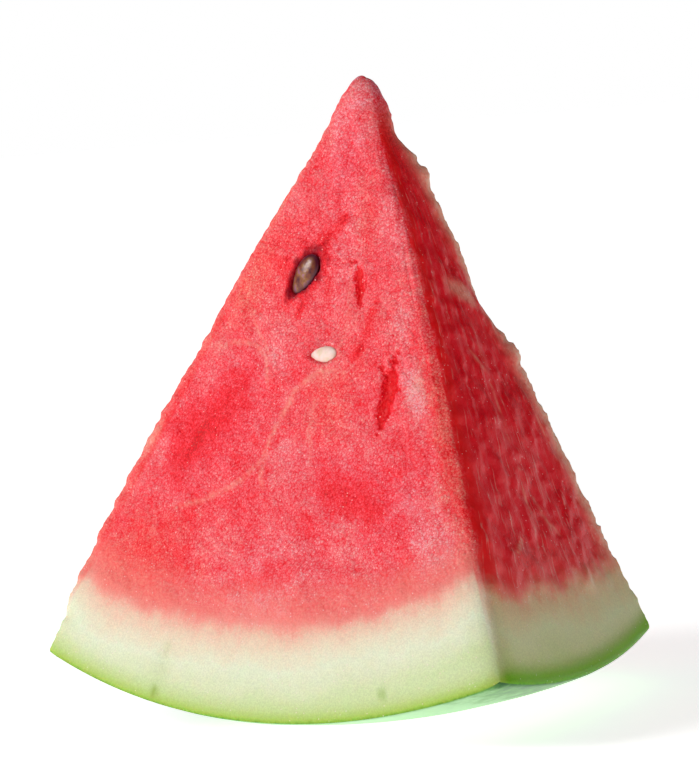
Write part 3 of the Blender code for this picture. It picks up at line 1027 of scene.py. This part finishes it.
def seed_surface(place, size, seed):
    """Rings along a seed: a flattened ball, narrowed to its point, with a margin and shoulders."""
    along = -np.cos(SEED_POLAR) / 2.0 * np.ones_like(SEED_TURN)
    narrowing = 1.0 - SEED_POINTING * (along + 0.5) ** 2
    shoulders = 1.0 + 0.05 * np.exp(-(((along - 0.36) / 0.05) ** 2))
    radius = np.sin(SEED_POLAR) / 2.0
    margin = 0.94 + 0.10 * np.exp(-((np.sin(SEED_TURN) / 0.22) ** 2))
    x = along * size[0]
    y = radius * np.cos(SEED_TURN) * size[1] * narrowing * shoulders
    z = radius * np.sin(SEED_TURN) * size[2] * narrowing * margin
    points = np.stack([x, y, z], axis=-1)
    points = points * (1.0 + 0.018 * noise(points, 1.3, seed)[..., None])
    ends = np.array([(-0.5 * size[0], 0.0, 0.0), (0.5 * size[0], 0.0, 0.0)])
    centre, axes = place_on_face(*place)
    return points @ axes + centre, ends @ axes + centre


def make_seed(node, place, size, material):
    """One detailed seed in place of its plain solid; `margin` is 1 on its edge, 0 mid-face."""
    rings, (first, last) = seed_surface(place, size, seed=len(node))
    piece = closed_mesh(node + "_coat", rings, first, last)
    store(piece, "margin", 1.0 - np.abs(np.sin(SEED_POLAR) * np.sin(SEED_TURN)))
    piece.data.materials.append(material)
    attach(piece, "root")
    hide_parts(node)


# %% Seed coats
def ripe_coat():
    """Hard glossy seed coat: brown mottled with olive, under a thin mauve bloom of juice."""
    add, finish = new_material("glossy_ripe_seed_coat")
    place = add("TexCoord", output="Object")
    mottle = add("TexNoise", {"Vector": place, "Scale": 1.0 / (1.5 * MM), "Detail": 4.0})
    pits = add("TexNoise", {"Vector": place, "Scale": 1.0 / (0.35 * MM), "Detail": 2.0})
    margin = add("Attribute", None, "Fac", attribute_name="margin")
    middle = [(0.30, "#4c101e"), (0.44, "#7c3a26"), (0.54, "#925e22"), (0.66, "#9c5c84")]
    middle = add("ValToRGB", {0: mottle}, stops=middle)
    bloom = weighted_sum(add, -0.42, [(margin, 1.3), (mottle, 0.6)])
    bloom = add("ValToRGB", {0: bloom}, stops=[(0.2, "#000000"), (0.7, "#ffffff")])
    coat = add("Mix", {0: bloom, 6: middle, 7: "#541028"}, 2, data_type="RGBA")
    return finish(
        {
            "Base Color": coat,
            "Normal": add("Bump", {"Strength": 0.35, "Distance": 0.0001, "Height": pits}),
            "Roughness": 0.30,
            "IOR": 1.48,
            "Sheen Weight": 0.2,
            "Sheen Roughness": 0.4,
            "Sheen Tint": "#d08ab0",
        }
    )


def unripe_coat():
    """Soft cream coat of a seed that never filled, a little translucent, pinkish from juice."""
    add, finish = new_material("soft_unripe_seed_coat")
    place = add("TexCoord", output="Object")
    cloud = add("TexNoise", {"Vector": place, "Scale": 1.0 / (1.6 * MM), "Detail": 3.0})
    stops = [(0.35, "#e6cdb0"), (0.50, "#f6d3c6"), (0.70, "#fbe2da")]
    return finish(
        {
            "Base Color": add("ValToRGB", {0: cloud}, stops=stops),
            "Normal": add("Bump", {"Strength": 0.25, "Distance": 0.0001, "Height": cloud}),
            "Roughness": 0.45,
            "IOR": 1.42,
            "Subsurface Weight": 0.3,
            "Subsurface Radius": (1.0, 0.6, 0.4),
            "Subsurface Scale": 1.0 * MM,
        }
    )


ripe, pale = ripe_coat(), unripe_coat()
for node, place in DARK_SEEDS.items():
    make_seed(node, place, RIPE_SEED, ripe)
for node, place in PALE_SEEDS.items():
    make_seed(node, place, PALE_SEED, pale)

# %% [markdown]
# ## Floor, light and camera
# The wedge stands on a wide, plain, nearly white floor. A broad soft light from above lights
# the floor, and a large soft one from the front left makes the wet front face shine pink. The
# right face stays in its shade, which shows the deep red of uncut cells, with only a weak
# light from the back right.

# %% Floor and surroundings
FLOOR_RADIUS = 8.0
FLOOR_CORNERS = 96


def pale_floor():
    """A wide round floor, lit from below, and more so far away, so that its edge is not seen."""
    mesh = bpy.data.meshes.new("pale_floor")
    turn = 2.0 * np.pi * np.arange(FLOOR_CORNERS) / FLOOR_CORNERS
    rim = np.stack([np.cos(turn), np.sin(turn), 0.0 * turn], axis=-1) * FLOOR_RADIUS
    mesh.from_pydata(rim.tolist(), [], [list(range(FLOOR_CORNERS))])
    floor = bpy.data.objects.new("pale_floor", mesh)
    bpy.context.scene.collection.objects.link(floor)
    add, finish = new_material("backlit_opal_acrylic")
    away = add("VectorMath", {0: add("TexCoord", output="Object")}, "Value", operation="LENGTH")
    glow = add("MapRange", {"Value": away, "From Min": 0.3, "From Max": 1.2, "To Min": 0.76, "To Max": 1.0})
    look = {"Base Color": "#f4f4f2", "Roughness": 0.9, "Emission Color": "#ffffff"}
    mesh.materials.append(finish({**look, "Emission Strength": glow}))


pale_floor()
print("floor:", 2.0 * FLOOR_RADIUS, "m across")
world = bpy.data.worlds.new("white_room")
bpy.context.scene.world = world
world.use_nodes = True
add_to_room = functools.partial(add_node, world.node_tree)
rise = add_to_room("SeparateXYZ", {0: add_to_room("TexCoord", output="Generated")}, "Z")
wall = add_to_room("ValToRGB", {0: rise}, stops=[(0.04, "#ffffff"), (0.12, "#303030"), (1.0, "#303030")])
set_inputs(world.node_tree, world.node_tree.nodes["Background"], {"Color": wall})


# %% Lights
LIGHT_TARGET = Vector((0.0, 0.0, 0.06))
LIGHT_SIZE = 0.5


def area_light(name, place, power):
    """A square soft light that faces the middle of the wedge; places in metres."""
    light = bpy.data.lights.new(name, "AREA")
    light.shape, light.size, light.energy = "SQUARE", LIGHT_SIZE, power
    lamp = bpy.data.objects.new(name, light)
    lamp.location = place
    lamp.rotation_euler = (LIGHT_TARGET - Vector(place)).to_track_quat("-Z", "Y").to_euler()
    lamp.visible_camera = False
    bpy.context.scene.collection.objects.link(lamp)


overhead = bpy.data.lights.new("overhead", "SUN")
overhead.energy, overhead.angle = 0.15, math.radians(60.0)
overhead_lamp = bpy.data.objects.new("overhead", overhead)
bpy.context.scene.collection.objects.link(overhead_lamp)
area_light("front_left_softbox", (-0.84, -0.93, 0.74), 13.8)
area_light("back_right_strip", (0.75, 0.65, 0.45), 0.25)
print("softbox and strip face", tuple(LIGHT_TARGET))

# %% Camera
CAMERA_PLACE = (0.3315, -0.4508, 0.1176)
CAMERA_TARGET = (0.0014, -0.0020, 0.0610)
CAMERA_ROLL = math.radians(-4.76)
FOCAL_LENGTH = 136.8
camera = bpy.data.objects.new("camera", bpy.data.cameras.new("camera"))
aim = Vector(CAMERA_TARGET) - Vector(CAMERA_PLACE)
camera.location = CAMERA_PLACE
camera.rotation_mode = "QUATERNION"
camera.rotation_quaternion = aim.to_track_quat("-Z", "Y") @ Quaternion((0.0, 0.0, 1.0), CAMERA_ROLL)
camera.data.lens = FOCAL_LENGTH
camera.data.sensor_width = 36.0
camera.data.clip_start, camera.data.clip_end = 0.01, 50.0
bpy.context.scene.collection.objects.link(camera)
bpy.context.scene.camera = camera
bpy.context.scene.view_settings.view_transform = "Standard"
print("camera distance, m:", round(aim.length, 3))
